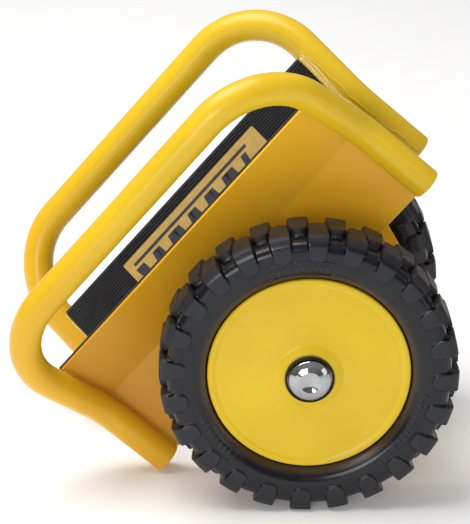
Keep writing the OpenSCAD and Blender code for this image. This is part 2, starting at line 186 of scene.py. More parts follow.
def piece(name, points, faces, body, material, replaces=(), sharp=40):
    """One closed mesh, which rides on a body if one is named."""
    mesh = bpy.data.meshes.new(name)
    mesh.from_pydata([tuple(p) for p in np.asarray(points, float)], [], [tuple(f) for f in faces])
    bm = bmesh.new()
    bm.from_mesh(mesh)
    bmesh.ops.remove_doubles(bm, verts=bm.verts, dist=1e-6)
    bmesh.ops.recalc_face_normals(bm, faces=bm.faces)
    bm.to_mesh(mesh)
    bm.free()
    mesh.polygons.foreach_set("use_smooth", [True] * len(mesh.polygons))
    mesh.set_sharp_from_angle(angle=math.radians(sharp))
    mesh.materials.append(material)
    obj = bpy.data.objects.new(name, mesh)
    bpy.context.scene.collection.objects.link(obj)
    if body:
        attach(obj, body)
    if replaces:
        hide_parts(*replaces)
    return obj


def strip_faces(rows, cols, loop_rows, loop_cols, start=0):
    """Quads over a grid of points, closed on itself along either direction."""
    faces = []
    for i in range(rows if loop_rows else rows - 1):
        for j in range(cols if loop_cols else cols - 1):
            k, m = (i + 1) % rows, (j + 1) % cols
            near, far = start + i * cols, start + k * cols
            faces.append((near + j, far + j, far + m, near + m))
    return faces


def rounded(points, steps=6, closed=True):
    """A polyline whose corners (a, b, radius) become arcs."""
    out = []
    count = len(points)
    for i, (a, b, radius) in enumerate(points):
        here = np.array([a, b], float)
        if radius <= 0 or (not closed and i in (0, count - 1)):
            out.append(here)
            continue
        before = np.array(points[i - 1][:2], float) - here
        after = np.array(points[(i + 1) % count][:2], float) - here
        before /= np.linalg.norm(before)
        after /= np.linalg.norm(after)
        half = math.acos(max(-1, min(1, float(before @ after)))) / 2
        if abs(half - math.pi / 2) < 1e-3:
            out.append(here)
            continue
        middle = (before + after) / np.linalg.norm(before + after)
        centre = here + middle * radius / math.sin(half)
        first = here + before * radius / math.tan(half) - centre
        last = here + after * radius / math.tan(half) - centre
        turn = math.atan2(first[0] * last[1] - first[1] * last[0], float(first @ last))
        for k in range(steps + 1):
            t = turn * k / steps
            c, s = math.cos(t), math.sin(t)
            out.append(centre + [first[0] * c - first[1] * s, first[0] * s + first[1] * c])
    return np.array(out)


def lathe(name, side, profile, body, material, replaces, steps=144, sharp=40):
    """A closed profile of (radius, distance outward) turned about the wheel axle."""
    angle = np.arange(steps) * 2 * math.pi / steps
    profile = np.asarray(profile, float)
    r, o = profile[:, 0], profile[:, 1]
    grid = np.empty((steps, len(profile), 3))
    grid[..., 0] = np.cos(angle)[:, None] * r
    grid[..., 1] = side * o
    grid[..., 2] = np.sin(angle)[:, None] * r
    faces = strip_faces(steps, len(profile), True, True)
    piece(name, upright(grid.reshape(-1, 3)), faces, body, material, replaces, sharp)


def sweep(centres, normals, binormals, radii, sides, loop):
    """Rings round a run of points, and the faces between them and over any ends."""
    t = np.arange(sides) * 2 * math.pi / sides
    rings = (centres[:, None, :]
             + radii[:, None, None] * (np.cos(t)[None, :, None] * normals[:, None, :]
                                       + np.sin(t)[None, :, None] * binormals[:, None, :]))
    count = len(centres)
    points = rings.reshape(-1, 3)
    faces = strip_faces(count, sides, loop, True)
    if not loop:
        faces.append(tuple(range(sides)))
        faces.append(tuple(reversed(range((count - 1) * sides, count * sides))))
    return points, faces


def frames_along(centres, hint, loop=False):
    """Normals and binormals for a run of points, with the normal kept near a hint."""
    ahead = np.roll(centres, -1, 0) - centres
    behind = centres - np.roll(centres, 1, 0)
    tangent = (ahead / np.linalg.norm(ahead, axis=1)[:, None]
               + behind / np.linalg.norm(behind, axis=1)[:, None])
    if not loop:
        tangent[0], tangent[-1] = ahead[0], behind[-1]
    tangent /= np.linalg.norm(tangent, axis=1)[:, None]
    hint = np.broadcast_to(np.asarray(hint, float), centres.shape)
    normal = hint - np.sum(hint * tangent, axis=1)[:, None] * tangent
    normal /= np.linalg.norm(normal, axis=1)[:, None]
    return normal, np.cross(tangent, normal)


# ---- materials --------------------------------------------------------------

def mix_colours(tree, amount, first, last):
    """A mix of two colours, each of them a constant or another node's output."""
    made = tree.nodes.new("ShaderNodeMix")
    made.data_type = "RGBA"
    tree.links.new(amount, made.inputs["Factor"])
    for socket, value in ((made.inputs[6], first), (made.inputs[7], last)):
        if isinstance(value, tuple):
            socket.default_value = (*value, 1)
        else:
            tree.links.new(value, socket)
    return made.outputs[2]


class Nodes:
    """A material's node tree, with its shader and output made."""

    def __init__(self, name):
        self.material = bpy.data.materials.new(name)
        self.material.use_nodes = True
        self.tree = self.material.node_tree
        self.shader = self.tree.nodes["Principled BSDF"]
        self.where = self.add("ShaderNodeTexCoord").outputs["Object"]

    def add(self, kind, **settings):
        made = self.tree.nodes.new(kind)
        for key, value in settings.items():
            setattr(made, key, value)
        return made

    def link(self, source, target):
        self.tree.links.new(source, target)

    def noise(self, scale, detail=3.0, roughness=0.5):
        made = self.add("ShaderNodeTexNoise")
        made.inputs["Scale"].default_value = scale
        made.inputs["Detail"].default_value = detail
        made.inputs["Roughness"].default_value = roughness
        self.link(self.where, made.inputs["Vector"])
        return made.outputs["Fac"]

    def ramp(self, source, low, high, first, last):
        """A colour ramp over part of a value's range."""
        made = self.add("ShaderNodeValToRGB")
        stops = made.color_ramp.elements
        stops[0].position, stops[1].position = low, high
        stops[0].color, stops[1].color = (*first, 1), (*last, 1)
        self.link(source, made.inputs["Fac"])
        return made.outputs["Color"]

    def spread(self, source, low, high, first, last):
        """A value mapped from one range to another."""
        made = self.add("ShaderNodeMapRange")
        ends = {"From Min": low, "From Max": high, "To Min": first, "To Max": last}
        for key, value in ends.items():
            made.inputs[key].default_value = value
        self.link(source, made.inputs["Value"])
        return made.outputs["Result"]

    def mix(self, amount, first, last):
        return mix_colours(self.tree, amount, first, last)

    def edges(self, low, high):
        """How exposed an edge is, 0 to 1."""
        exposed = self.add("ShaderNodeNewGeometry").outputs["Pointiness"]
        return self.spread(exposed, low, high, 0.0, 1.0)

    def from_axle(self):
        """Distance from the wheel axle, in metres."""
        away = self.add("ShaderNodeVectorMath", operation="SUBTRACT")
        away.inputs[1].default_value = tuple(AXLE)
        self.link(self.where, away.inputs[0])
        flat = self.add("ShaderNodeVectorMath", operation="MULTIPLY")
        flat.inputs[1].default_value = (1, 0, 1)
        self.link(away.outputs["Vector"], flat.inputs[0])
        size = self.add("ShaderNodeVectorMath", operation="LENGTH")
        self.link(flat.outputs["Vector"], size.inputs[0])
        return size.outputs["Value"]

    def bump(self, height, strength, distance):
        made = self.add("ShaderNodeBump")
        made.inputs["Strength"].default_value = strength
        made.inputs["Distance"].default_value = distance
        self.link(height, made.inputs["Height"])
        self.link(made.outputs["Normal"], self.shader.inputs["Normal"])

    def set(self, **values):
        for key, value in values.items():
            self.shader.inputs[key.replace("_", " ")].default_value = value


def powder_coat(name, base, worn, low=None, fade=(0.06, 0.3)):
    """Powder coat; low is a darker, more orange colour painted near the ground as shade, and fade
    the heights it turns at.
    """
    n = Nodes(name)
    broad = n.noise(14, 4, 0.55)
    tone = n.ramp(broad, 0.3, 0.7, tuple(c * 0.93 for c in base),
                  tuple(min(1, c * 1.05) for c in base))
    # painted shade: mixes towards the darker, more orange low colour near the floor, fading out
    # between the fade heights
    if low:
        split = n.add("ShaderNodeSeparateXYZ")
        n.link(n.where, split.inputs[0])
        tone = n.mix(n.spread(split.outputs["Z"], *fade, 0.9, 0.0), tone, low)
    speck = n.spread(n.noise(900, 2), 0.62, 0.7, 0.0, 0.18)
    tone = n.mix(speck, tone, tuple(c * 0.8 for c in base))
    rubbed = n.add("ShaderNodeMath", operation="MULTIPLY")
    n.link(n.edges(0.57, 0.65), rubbed.inputs[0])
    n.link(n.spread(n.noise(160, 5, 0.65), 0.45, 0.65, 0.0, 0.45), rubbed.inputs[1])
    n.link(n.mix(rubbed.outputs[0], tone, worn), n.shader.inputs["Base Color"])
    n.link(n.spread(n.noise(55, 4), 0.3, 0.7, 0.27, 0.38), n.shader.inputs["Roughness"])
    n.bump(n.noise(520, 2, 0.4), 0.12, 0.0004)
    n.set(Coat_Weight=0.15, Coat_Roughness=0.2, Specular_IOR_Level=0.32)
    return n.material


def weld_metal():
    n = Nodes("weld_bead_coat")
    tone = n.ramp(n.noise(240, 5, 0.6), 0.32, 0.7, (0.74, 0.50, 0.08), (0.90, 0.70, 0.24))
    n.link(tone, n.shader.inputs["Base Color"])
    n.link(n.spread(n.noise(300, 3), 0.3, 0.7, 0.32, 0.5), n.shader.inputs["Roughness"])
    n.bump(n.noise(420, 5, 0.65), 0.5, 0.0008)
    n.set(Coat_Weight=0.2, Coat_Roughness=0.25)
    return n.material


def rubber(name, dark, light, dust, rough, bump, gloss, tread=None):
    """Moulded rubber; on a tyre, tread is the radii where its face turns from glossy to dusty."""
    n = Nodes(name)
    tone = n.ramp(n.noise(38, 5, 0.6), 0.3, 0.72, dark, light)
    dusty = n.add("ShaderNodeMath", operation="MULTIPLY")
    n.link(n.spread(n.noise(70, 6, 0.65), 0.35, 0.75, 0.2, 0.9), dusty.inputs[0])
    rough = n.spread(n.noise(90, 4), 0.3, 0.7, *rough)
    if tread:
        worn = n.spread(n.from_axle(), *tread, 0.0, 1.0)
        more = n.add("ShaderNodeMath", operation="MULTIPLY_ADD")
        n.link(worn, more.inputs[0])
        more.inputs[1].default_value = 0.28
        n.link(rough, more.inputs[2])
        rough = more.outputs[0]
    else:
        worn = n.edges(0.49, 0.58)
    n.link(worn, dusty.inputs[1])
    tone = n.mix(dusty.outputs[0], tone, dust)
    if tread:
        # painted reflection: a brownish-yellow band near the bead stands for the yellow disc
        # mirrored in the rubber
        tone = n.mix(n.spread(n.from_axle(), *BEAD_REFLECTION_FADE, 0.95, 0.0), tone, BEAD_PAINTED_REFLECTION)
        split = n.add("ShaderNodeSeparateXYZ")
        n.link(n.where, split.inputs[0])
        out = n.add("ShaderNodeMath", operation="ABSOLUTE")
        n.link(split.outputs["Y"], out.inputs[0])
        low, high = ((TRACK + across) * MM for across in LUG_FACE)
        # lighter on the lugs' outer faces
        tone = n.mix(n.spread(out.outputs[0], low, high, 0.0, 0.75), tone, LIGHTER_LUGS_AND_HIGHLIGHT)
        # painted highlight: lighter along sharp edges
        tone = n.mix(n.edges(0.505, 0.58), tone, LIGHTER_LUGS_AND_HIGHLIGHT)
    n.link(tone, n.shader.inputs["Base Color"])
    n.link(rough, n.shader.inputs["Roughness"])
    n.bump(n.noise(700, 4, 0.6), bump, 0.0005)
    n.set(Specular_IOR_Level=gloss)
    return n.material


def bare_metal(name, dark, light, rough, grain):
    n = Nodes(name)
    tone = n.ramp(n.noise(60, 5, 0.6), 0.3, 0.7, dark, light)
    n.link(tone, n.shader.inputs["Base Color"])
    n.link(n.spread(n.noise(220, 4), 0.3, 0.7, *rough), n.shader.inputs["Roughness"])
    n.bump(n.noise(800, 3), grain, 0.0003)
    n.set(Metallic=1.0)
    return n.material


def printed(name, dark, light, rough):
    n = Nodes(name)
    n.link(n.ramp(n.noise(120, 4, 0.6), 0.3, 0.7, dark, light), n.shader.inputs["Base Color"])
    n.link(n.spread(n.noise(200, 3), 0.3, 0.7, *rough), n.shader.inputs["Roughness"])
    n.bump(n.noise(1500, 2), 0.1, 0.0002)
    return n.material


# painted reflection of the yellow rim disc, laid on the tyre near the bead
BEAD_PAINTED_REFLECTION = (0.046, 0.026, 0.004)
# lighter tone for the lugs' outer faces, and painted highlight on sharp edges
LIGHTER_LUGS_AND_HIGHLIGHT = (0.011, 0.012, 0.021)
YELLOW = powder_coat("yellow_powder_coat", (0.755, 0.515, 0.010), (0.86, 0.66, 0.16))
# The tube and plate coats hold painted shade: darker and more orange towards the floor.
TUBE_YELLOW = powder_coat("tube_powder_coat_painted_shade", (0.785, 0.512, 0.014), (0.88, 0.68, 0.18),
                          low=(0.77, 0.40, 0.012))
# The plate's coat is a more orange copy of the yellow, painted for the orange cast of its shade.
PLATE_YELLOW = powder_coat("plate_powder_coat_painted_shade", (0.88, 0.495, 0.02), (0.92, 0.64, 0.18),
                           low=(0.64, 0.28, 0.010), fade=(0.08, 0.32))
WELD = weld_metal()
TYRE = rubber("tyre_rubber_painted_light", (0.0012, 0.0016, 0.005), (0.004, 0.0048, 0.011),
              dust=(0.030, 0.021, 0.013), rough=(0.15, 0.26), bump=0.14, gloss=0.42,
              tread=TREAD_FADE)
PAD = rubber("pad_rubber", (0.008, 0.008, 0.010), (0.016, 0.016, 0.020),
             dust=(0.04, 0.04, 0.046), rough=(0.36, 0.52), bump=0.2, gloss=0.4)
STEEL = bare_metal("zinc_steel", (0.48, 0.49, 0.50), (0.66, 0.67, 0.68),
                   rough=(0.26, 0.42), grain=0.12)
CHROME = bare_metal("polished_chrome", (0.36, 0.37, 0.39), (0.47, 0.48, 0.50),
                    rough=(0.05, 0.1), grain=0.02)
SEAL = rubber("seal_plastic", (0.003, 0.003, 0.0035), (0.007, 0.007, 0.008),
              dust=(0.02, 0.02, 0.022), rough=(0.25, 0.4), bump=0.1, gloss=0.2)
LABEL = printed("label_vinyl", (0.60, 0.38, 0.10), (0.70, 0.47, 0.14), rough=(0.32, 0.45))
LABEL_INK = printed("label_ink", (0.030, 0.032, 0.048), (0.050, 0.052, 0.072),
                    rough=(0.4, 0.55))

FINISH = {"yellow_coat": YELLOW, "pad_rubber": PAD, "tyre": TYRE, "steel": STEEL, "chrome": CHROME,
          "seal_plastic": SEAL, "label": LABEL}
for part in frame["record"]["subparts"]:
    node = frame["nodes"][part["node"]]
    if not node.material_slots:
        node.data.materials.append(None)
    for held in node.material_slots:
        held.material = FINISH[part["material_slot"]]


# ---- jaws -------------------------------------------------------------------

def jaw_point(up, inward):
    """Up the slope from the bend, and inward of the tubes' plane, as (y, z) of the right jaw."""
    return np.array([-LEG_Y - up * math.sin(FLARE) + inward * math.cos(FLARE),
                     BEND_Z + up * math.cos(FLARE) + inward * math.sin(FLARE)])


def jaw_turn(inward):
    return np.array([inward - LEG_Y, BEND_Z + inward * math.tan(FLARE / 2)])


def mirrored(points, side):
    """The right jaw's points, or their mirror image for the left jaw."""
    out = np.array(points, float)
    out[..., 1] *= -side
    return out


def hoop_run(kink_steps=10, corner_steps=18):
    """Centres, leans and turns along the hoop from the foot of one leg to the other's."""
    kink_run = KINK_R * math.tan(FLARE / 2)
    straight = LEG_X - CORNER_R

    def leg(side, z):
        return [side * LEG_X, -LEG_Y, z], 0.0, 0.0 if side > 0 else math.pi

    def kink(side, lean):
        y = -LEG_Y - KINK_R * (1 - math.cos(lean))
        z = BEND_Z - kink_run + KINK_R * math.sin(lean)
        return [side * LEG_X, y, z], lean, 0.0 if side > 0 else math.pi

    def corner(side, turn):
        y, z = jaw_point(HANDLE_UP - CORNER_R + CORNER_R * math.sin(turn), 0)
        return [side * straight + CORNER_R * math.cos(turn), y, z], FLARE, turn

    def run(side):
        up = [leg(side, LEG_END_Z), leg(side, LEG_END_Z + END_ROUND)]
        up += [kink(side, FLARE * i / kink_steps) for i in range(kink_steps + 1)]
        return up

    quarter = math.pi / 2
    places = run(1)
    places += [corner(1, quarter * i / corner_steps) for i in range(corner_steps + 1)]
    places += [corner(-1, quarter + quarter * i / corner_steps) for i in range(corner_steps + 1)]
    return places + run(-1)[::-1]


def hoop(side, name):
    """The bent tube with its rounded, closed ends."""
    places = hoop_run()
    centre = np.array([p[0] for p in places], float)
    lean = np.array([p[1] for p in places])
    turn = np.array([p[2] for p in places])
    outward = np.stack([np.cos(turn), -np.sin(turn) * np.sin(lean), np.sin(turn) * np.cos(lean)], 1)
    inward = np.stack([np.zeros(len(places)), np.cos(lean), np.sin(lean)], 1)
    radii = np.full(len(places), TUBE_R)
    ends = [(END_ROUND * (1 - math.sin(a)), TUBE_R - END_ROUND + END_ROUND * math.cos(a))
            for a in np.radians((0, 22.5, 45, 67.5))]
    first = [(LEG_END_Z + d, r) for d, r in reversed(ends)]

    def cap(index, rows):
        c = np.repeat(centre[index][None], len(rows), 0)
        c[:, 2] = [z for z, _ in rows]
        return c, np.array([r for _, r in rows])

    low, low_r = cap(0, first[:-1])
    high, high_r = cap(-1, first[:-1][::-1])
    centre = np.concatenate([low, centre[1:-1], high])
    radii = np.concatenate([low_r, radii[1:-1], high_r])
    pad = len(first) - 1

    def padded(way):
        return np.concatenate([np.repeat(way[:1], pad, 0), way[1:-1], np.repeat(way[-1:], pad, 0)])

    points, faces = sweep(centre, padded(outward), padded(inward), radii, 36, False)
    points[:, 0] += JAW_X
    piece(f"{name}_hoop_tube", level(mirrored(points, side)), faces, f"{name}_jaw", TUBE_YELLOW,
          (f"{name}_hoop", f"{name}_hoop_end_plugs"), 50)


def side_plate(side, name):
    """The bent plate: its flat outline is cut along the bend, folded and given its thickness."""
    low = HINGE_Z - SHEET / 2
    turn = jaw_turn(PLATE_IN)
    path = rounded([(-LEG_Y + PLATE_IN, low, 0), (turn[0], turn[1], BEND_R),
                    (*jaw_point(FLARE_UP, PLATE_IN), 0)], 8, False)
    step = np.linalg.norm(np.diff(path, axis=0), axis=1)
    length = np.concatenate([[0], np.cumsum(step)])
    lean = np.clip((length - length[1]) / (length[-2] - length[1]), 0, 1) * FLARE
    cradle_end = CRADLE_X - (PLATE_LOW_Z - low) * math.tan(CRADLE_LEAN)
    shoulder = PLATE_LOW_Z - low
    outline = rounded([(-PLATE_X, shoulder, 0), (-CRADLE_X, shoulder, 4), (-cradle_end, 0, 3),
                       (cradle_end, 0, 3), (CRADLE_X, shoulder, 4), (PLATE_X, shoulder, 0),
                       (PLATE_X, length[-1], 0), (-PLATE_X, length[-1], 0)], 5)
    bm = bmesh.new()
    bm.faces.new([bm.verts.new((x, s, 0)) for x, s in outline])
    for s in length[1:-1]:
        bmesh.ops.bisect_plane(bm, geom=bm.verts[:] + bm.edges[:] + bm.faces[:],
                               plane_co=(0, s, 0), plane_no=(0, 1, 0))
    flat = [(v.co.x, v.co.y) for v in bm.verts]
    bm.verts.index_update()
    loops = [[v.index for v in f.verts] for f in bm.faces]
    rim = [[v.index for v in e.verts] for e in bm.edges if len(e.link_faces) == 1]
    bm.free()
    outer, inner = [], []
    for x, s in flat:
        y, z = (float(np.interp(s, length, path[:, k])) for k in (0, 1))
        a = float(np.interp(s, length, lean))
        outer.append((x + JAW_X, y, z))
        inner.append((x + JAW_X, y + SHEET * math.cos(a), z + SHEET * math.sin(a)))
    count = len(flat)
    faces = loops + [[count + i for i in reversed(f)] for f in loops]
    faces += [[a, b, count + b, count + a] for a, b in rim]
    obj = piece(f"{name}_bent_plate", level(mirrored(outer + inner, side)), faces, f"{name}_jaw",
                PLATE_YELLOW, (f"{name}_side_plate",), 30)
    bevel = obj.modifiers.new("edges", "BEVEL")
    bevel.width = 0.5 * MM
    bevel.segments = 2
    bevel.limit_method = "ANGLE"
    bevel.angle_limit = math.radians(50)


def weld(name, side, body, centres, radius, seed, material, wander=0.25):
    """A bead of weld: overlapping ripples of slightly uneven size, which wander a little."""
    pick = np.random.default_rng(seed)
    gaps = np.linalg.norm(np.diff(centres, axis=0), axis=1)
    length = np.concatenate([[0], np.cumsum(gaps)])
    at = np.arange(0, length[-1], WELD_PITCH)
    run = np.stack([np.interp(at, length, centres[:, k]) for k in range(3)], 1)
    knots = np.arange(0, length[-1] + WAVE, WAVE)
    slow = np.interp(at, knots, pick.normal(0, 1, len(knots)))
    ripple = np.abs(np.sin(at * math.pi / RIPPLE + slow))
    radii = radius * (0.92 + 0.1 * ripple + 0.08 * slow)
    radii[0] = radii[-1] = radius * 0.3
    radii[1] = radii[-2] = radius * 0.75
    run[:, 0] += wander * slow
    normal, binormal = frames_along(run, [0.0, 1.0, 0.0])
    points, faces = sweep(run, normal, binormal, radii, 10, False)
    piece(name, level(mirrored(points, side)), faces, body, material, (), 60)


def seam(edges, inward, z_low, up_high, bend=20):
    """Up a leg and the flare of the right jaw; edges are the x at its foot, bend and top."""
    turn = jaw_turn(inward)
    top = jaw_point(up_high, inward)
    path = rounded([(inward - LEG_Y, z_low, 0), (*turn, bend), (*top, 0)], 8, False)
    stations = (z_low, turn[1], top[1])
    return np.array([(float(np.interp(z, stations, edges)) + JAW_X, y, z) for y, z in path])


def jaw_welds(side, name):
    """Beads where plate meets tube, and the wide, uneven run on the front leg."""
    body = f"{name}_jaw"
    for end, word, edge, size in ((1, "front", 164.4, 2.6), (-1, "back", 163.2, 1.4)):
        inner = seam([end * edge] * 3, PLATE_IN + SHEET + 0.7 * size, 20, FLARE_UP - 1)
        outer = seam([end * OUTER_WELD_X] * 3, PLATE_IN - 0.5, 15, FLARE_UP - 2)
        weld(f"{name}_inner_weld_{word}", side, body, inner, size, 11 + side + end, WELD)
        weld(f"{name}_outer_weld_{word}", side, body, outer, OUTER_WELD_R, 21 + side + end, WELD)
    spread = seam((166.2, 166.8, 167.6), 12.6, 30, FLARE_UP + 1, KINK_R)
    edge = seam((174.6, 172.4, 169.6), 13.2, 18, FLARE_UP + 2.5, KINK_R)
    weld(f"{name}_weld_spread", side, body, spread, 1.7, 31 + side, WELD, 0.8)
    weld(f"{name}_weld_edge", side, body, edge, 1.3, 41 + side, TUBE_YELLOW, 0.9)


for side, name in SIDES:
    hoop(side, name)
    side_plate(side, name)
    jaw_welds(side, name)


# ---- pads -------------------------------------------------------------------

def pad(side, name):
    """Ribbed rubber on the plate's inner face, and just over its top edge."""
    back = PLATE_IN + SHEET
    crest, groove = back + PAD_T, back + 0.6 * PAD_T
    shape = [(0.04, groove), (0.16, groove), (0.27, crest - 0.2), (0.36, crest), (0.62, crest),
             (0.71, crest - 0.2), (0.82, groove), (0.94, groove)]
    section = [jaw_point(FLARE_UP + PAD_OVER, back), jaw_turn(back), (back - LEG_Y, PAD_LOW_Z)]
    turn_z = jaw_turn(crest)[1]
    low_ribs = int((turn_z - PAD_LOW_Z) / RIB_PITCH)
    up_ribs = int(FLARE_UP / RIB_PITCH)
    section.append((groove - LEG_Y, PAD_LOW_Z))
    section += [(h - LEG_Y, turn_z - (i + 1 - f) * RIB_PITCH)
                for i in reversed(range(low_ribs)) for f, h in shape]
    section += [jaw_point((i + f) * RIB_PITCH, h) for i in range(up_ribs) for f, h in shape]
    section.append(jaw_point(FLARE_UP + PAD_OVER, groove))
    count = len(section)
    points = [(x + JAW_X, *p) for x in (-PAD_X, PAD_X) for p in section]
    faces = [list(range(count)), list(range(count, 2 * count))]
    faces += [[i, (i + 1) % count, count + (i + 1) % count, count + i] for i in range(count)]
    piece(f"{name}_ribbed_pad", level(mirrored(points, side)), faces, f"{name}_jaw", PAD,
          (f"{name}_gripping_pad",), 50)


for side, name in SIDES:
    pad(side, name)


# ---- label ------------------------------------------------------------------

def slab(outline, face, thickness):
    """A thin flat piece on the left pad's slope; its outline is (x, up)."""
    low = [(x + JAW_X, *jaw_point(up, face)) for x, up in outline]
    high = [(x + JAW_X, *jaw_point(up, face + thickness)) for x, up in outline]
    count = len(outline)
    faces = [list(range(count)), [count + i for i in reversed(range(count))]]
    faces += [[i, (i + 1) % count, count + (i + 1) % count, count + i] for i in range(count)]
    return low + high, faces


def label():
    """A vinyl sheet with a plain pattern: a long stripe, and slanted bars of changing width."""
    face = PLATE_IN + SHEET + PAD_T + 0.1
    sheet = rounded([(-LABEL_X, LABEL_LOW, 1.5), (LABEL_X, LABEL_LOW, 1.5),
                     (LABEL_X, LABEL_UP, 1.5), (-LABEL_X, LABEL_UP, 1.5)], 4)
    points, faces = slab(sheet, face, LABEL_T)
    piece("label_sheet", level(mirrored(points, LEFT)), faces, "left_jaw", LABEL,
          ("pad_label",), 30)
    (left, right), (low, high) = STRIPE
    shapes = [[(left, low), (right, low), (right, high), (left, high)]]
    x = BAR_START
    for i in range(BARS):
        width = 8.0 + 2.5 * math.cos(i * 1.9)
        lean = 5.0 if i % 2 else -3.0
        shapes.append([(x, BAR_LOW), (x + width, BAR_LOW), (x + width + lean, BAR_UP),
                       (x + lean, BAR_UP)])
        x += width + BAR_GAP
    points, faces = [], []
    for shape in shapes:
        more, sides = slab(shape, face + INK_LOW, INK_T)
        faces += [[len(points) + i for i in f] for f in sides]
        points += more
    piece("label_bars", level(mirrored(points, LEFT)), faces, "left_jaw", LABEL_INK,
          (), 30)


label()


# ---- torsion springs ---------------------------------------------------------

def spring(name, middle, right_end):
    """One torsion coil whose ends turn into the knuckles beside it, between the two jaws."""
    steps = COIL_TURNS * 20
    t = np.arange(steps + 1) / steps
    angle = 2 * math.pi * COIL_TURNS * t
    coil = np.stack([COIL_HALF * (2 * t - 1), COIL_R * np.sin(angle), COIL_R * np.cos(angle)], 1)
    first = [(-TANG, 0, COIL_R), (-COIL_HALF - 0.9, 0, COIL_R), (-COIL_HALF - 0.3, 0.35, COIL_R)]
    last = [(-x, -y, z) for x, y, z in reversed(first)]
    run = np.array(first + coil[1:-1].tolist() + last) + [middle, 0, 0]
    radial = run * [0, 1, 1]
    normal, binormal = frames_along(run, radial)
    points, faces = sweep(run, normal, binormal, np.full(len(run), WIRE_R), 10, False)
    points += [JAW_X, 0, HINGE_Z]
    obj = piece(name, level(points), faces, None, STEEL,
                ("torsion_springs",) if right_end < 0 else (), 60)
    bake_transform(obj)


SPRING_X = KNUCKLE_END + SPRING_ROOM / 2
spring("torsion_spring_front", SPRING_X, -1)
spring("torsion_spring_back", -SPRING_X, 1)


# ---- wheels -----------------------------------------------------------------

def smooth_run(points, steps):
    """A Catmull-Rom curve through points."""
    p = np.asarray(points, float)
    p = np.concatenate([[2 * p[0] - p[1]], p, [2 * p[-1] - p[-2]]])
    out = []
    for i in range(1, len(p) - 2):
        for k in range(steps):
            t = k / steps
            a, b, c, d = p[i - 1:i + 3]
            out.append(0.5 * (2 * b + (c - a) * t + (2 * a - 5 * b + 4 * c - d) * t**2
                              + (3 * b - a - 3 * c + d) * t**3))
    out.append(p[-2])
    return np.array(out)


# Radius and place across, from the rim to the foot of the lugs
SIDEWALL = smooth_run([(84, 13.4), (86.6, 13.9), (87.9, 16.2), (88.3, 18.6), (88.9, 20.0),
                       (91.5, 21.6), (94.2, 23.2), (96.5, 24.6), (100, 25.7), (103, 26.1),
                       (105.1, 26.15)], 3)
# On to the tread: radius and place across between lugs, the same on a lug, and the lug's half
# width in degrees
FOOT = [(105.3, 26.15, 105.3, 26.15, 0), (106.0, 26.13, 105.7, 26.8, 1.4),
        (106.8, 26.1, 106.0, 27.3, 2.25), (107.7, 26.07, 106.6, 27.65, 2.9),
        (108.9, 26.03, 107.9, 27.75, 3.4), (110.3, 26.0, 110.0, 27.75, 3.75),
        (111.8, 25.93, 112.4, 27.75, 3.9), (113.6, 25.8, 115.6, 27.75, 3.95),
        (115.6, 25.4, 118.4, 27.65, 4.0), (117.3, 24.75, 120.2, 27.35, 4.05),
        (118.8, 23.8, 122.0, 26.80, 4.1), (120.0, 22.7, 125.0, 25.2, 4.2),
        (121.0, 21.5, 127.4, 23.2, 4.25)]
# Places across the tread, and the radius there on a lug and between lugs
TREAD = [20.5, 18.5, 16, 13.5, 12, 10.8, 10.1, 9.6, 9.0, 8.1, 7.2, 6.7, 6.3, 5.9, 5.2, 4.0,
         2.0, 0]
CROWN = ([0, 16, 18.5, 20.5], [128.4, 128.4, 128.35, 128.2])
GROOVE = ([0, 16, 18.5, 20.5], [122.0, 122.0, 121.9, 121.4])
# A lug's half width over the tread, which ends past the middle, and that of the low step at its end
TAPER = ([-6.6, -6.3, -5.8, -4, 0, 5, 14, 21], [-1.5, 0.8, 2.7, 3.2, 3.45, 3.75, 4.05, 4.25])
LEDGE = ([-10.2, -9.6, -9.0, -6], [-1.5, 1.2, 2.2, 2.5])
LEDGE_HEIGHT = 0.35
STEP = 360 / LUGS
WALL = 0.38


def lug_angles():
    """Angles that catch the walls of both staggered rows of lugs."""
    half = [0, 1.0] + [1.8 + 0.33 * k for k in range(12)] + [6.4]
    return np.array([k * STEP / 2 + a + LUG_PHASE for k in range(2 * LUGS) for a in half])


def lug_mask(angle, phase, reach):
    """1 on a lug, 0 between lugs; reach is the lug's half width."""
    off = np.abs((angle - phase + STEP / 2) % STEP - STEP / 2)
    t = np.clip((reach + WALL - off) / (2 * WALL), 0, 1)
    return t * t * (3 - 2 * t)


def tyre_half(angle, half, own, other):
    """Rows of (radius, place across) at every angle, from the bead to the tread's middle."""
    rows = [np.broadcast_to(np.array([r, half * o]), (len(angle), 2)) for r, o in SIDEWALL]
    for r_low, o_low, r_high, o_high, reach in FOOT:
        m = (lug_mask(angle, own, reach) * (reach > 0))[:, None]
        rows.append((1 - m) * [r_low, half * o_low] + m * [r_high, half * o_high])
    for o in TREAD:
        m = np.maximum(lug_mask(angle, own, np.interp(o, *TAPER)),
                       lug_mask(angle, other, np.interp(-o, *TAPER)))
        step = np.maximum(lug_mask(angle, own, np.interp(o, *LEDGE)) * (o < 0),
                          lug_mask(angle, other, np.interp(-o, *LEDGE)) * (o > 0))
        m = np.maximum(m, LEDGE_HEIGHT * step)
        low, high = np.interp(o, *GROOVE), np.interp(o, *CROWN)
        rows.append(np.stack([low + m * (high - low), np.full(len(angle), half * o)], 1))
    return rows


def on_wheel(side, turn, radius, across):
    """Points about the axle; across is how far outward of the wheel's middle they are."""
    return np.stack([np.cos(turn) * radius, side * (TRACK + across), np.sin(turn) * radius],
                    np.ndim(across))


